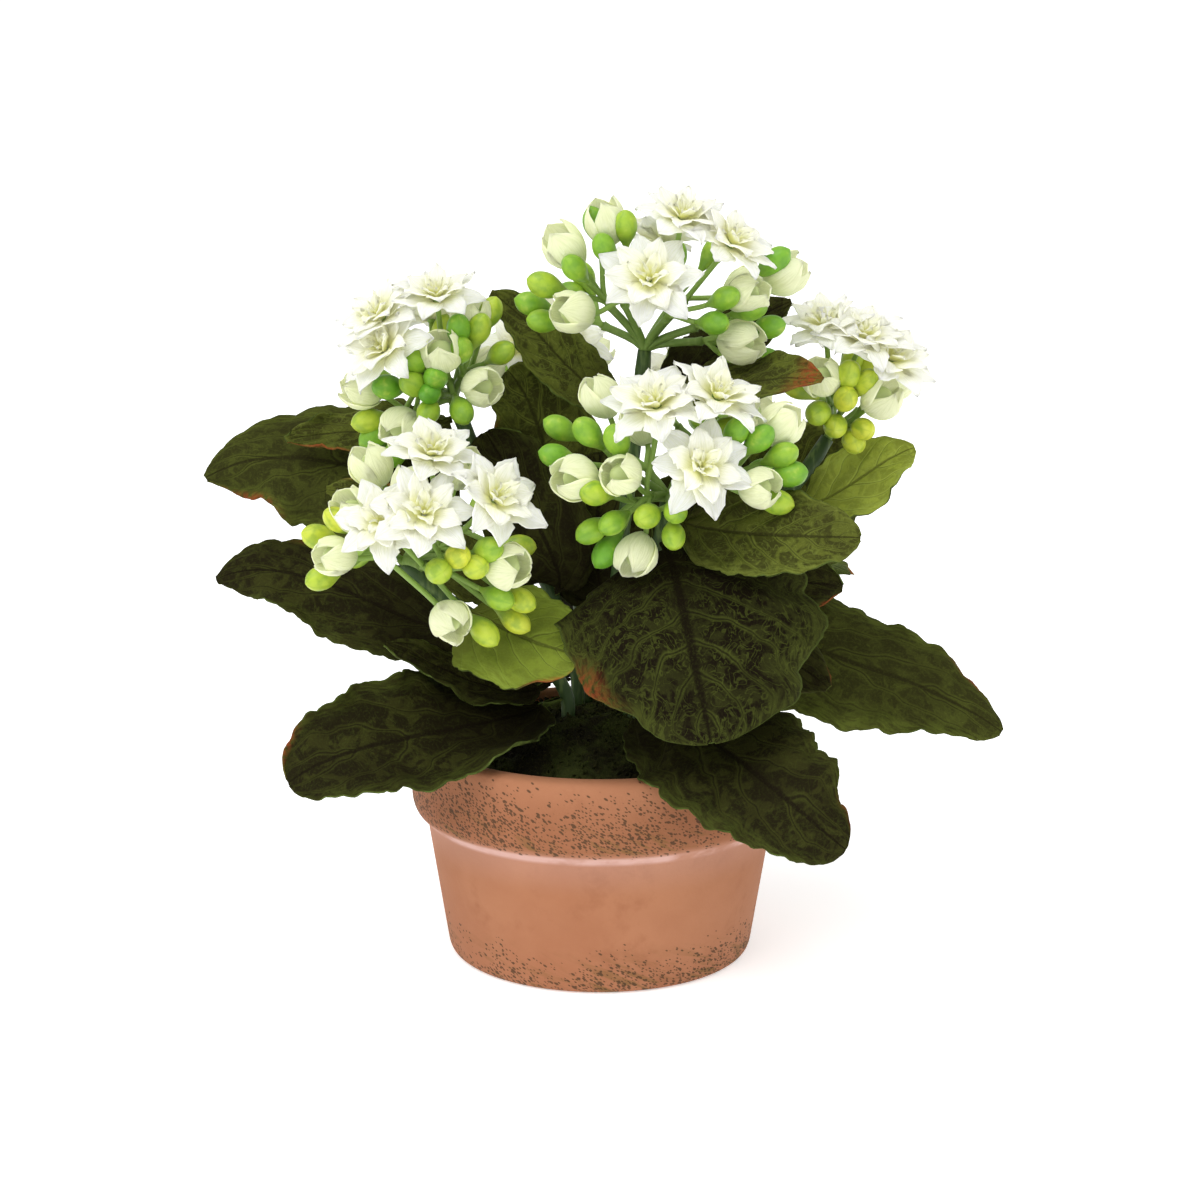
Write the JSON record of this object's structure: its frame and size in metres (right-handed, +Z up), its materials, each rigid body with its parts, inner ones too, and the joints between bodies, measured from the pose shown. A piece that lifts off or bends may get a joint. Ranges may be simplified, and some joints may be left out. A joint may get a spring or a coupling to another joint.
{
  "type": "potted kalanchoe plant",
  "caption": "Bushy kalanchoe with double white flower heads, green buds and scalloped leaves, in a low clay pot.",
  "frame": {"origin": "middle of the pot's base, on the surface it stands on", "axes": "+Z up; the side with the most flower heads looks towards -Y"},
  "size_m": [0.2532, 0.196, 0.2437],
  "materials": {
    "clay": "matt unglazed clay with dark specks",
    "moss": "dark fibrous moss",
    "stems_and_buds": "smooth, slightly waxy green",
    "petals": "thin crinkled white petals",
    "leaf_dark": "matt veined dark green leaf",
    "leaf_light": "matt veined yellow-green leaf"
  },
  "bodies": {
    "root": {"flowers_back_left_a": "petals", "flowers_back_left_b": "petals", "flowers_back_right_a": "petals", "flowers_back_right_b": "petals", "flowers_front_left_a": "petals", "flowers_front_left_b": "petals", "flowers_front_right_a": "petals", "flowers_front_right_b": "petals", "flowers_left_back_a": "petals", "flowers_left_back_b": "petals", "flowers_right_back_a": "petals", "flowers_right_back_b": "petals", "flowers_top_a": "petals", "flowers_top_b": "petals", "flowers_top_c": "petals", "leaf_back_left_leaf": "leaf_dark", "leaf_back_low_left": "leaf_dark", "leaf_back_low_right": "leaf_dark", "leaf_back_middle": "leaf_dark", "leaf_back_right_leaf": "leaf_dark", "leaf_front": "leaf_dark", "leaf_front_under": "leaf_dark", "leaf_inner_corner": "leaf_dark", "leaf_inner_left": "leaf_dark", "leaf_inner_middle": "leaf_dark", "leaf_inner_right": "leaf_dark", "leaf_left_inner": "leaf_light", "leaf_left_middle": "leaf_dark", "leaf_left_small": "leaf_light", "leaf_left_under": "leaf_dark", "leaf_left_upper": "leaf_dark", "leaf_light": "leaf_light", "leaf_low_left": "leaf_dark", "leaf_low_right": "leaf_dark", "leaf_middle": "leaf_dark", "leaf_right": "leaf_dark", "leaf_right_corner": "leaf_dark", "leaf_right_dark": "leaf_dark", "leaf_right_middle": "leaf_light", "leaf_right_upper": "leaf_light", "leaf_top_behind": "leaf_dark", "leaf_top_left": "leaf_light", "leaf_top_right": "leaf_dark", "moss": "moss", "pot": "clay", "stem_back_left": "stems_and_buds", "stem_back_right": "stems_and_buds", "stem_front_left": "stems_and_buds", "stem_front_right": "stems_and_buds", "stem_left_back": "stems_and_buds", "stem_right_back": "stems_and_buds", "stem_top": "stems_and_buds"}
  },
  "joints": []
}
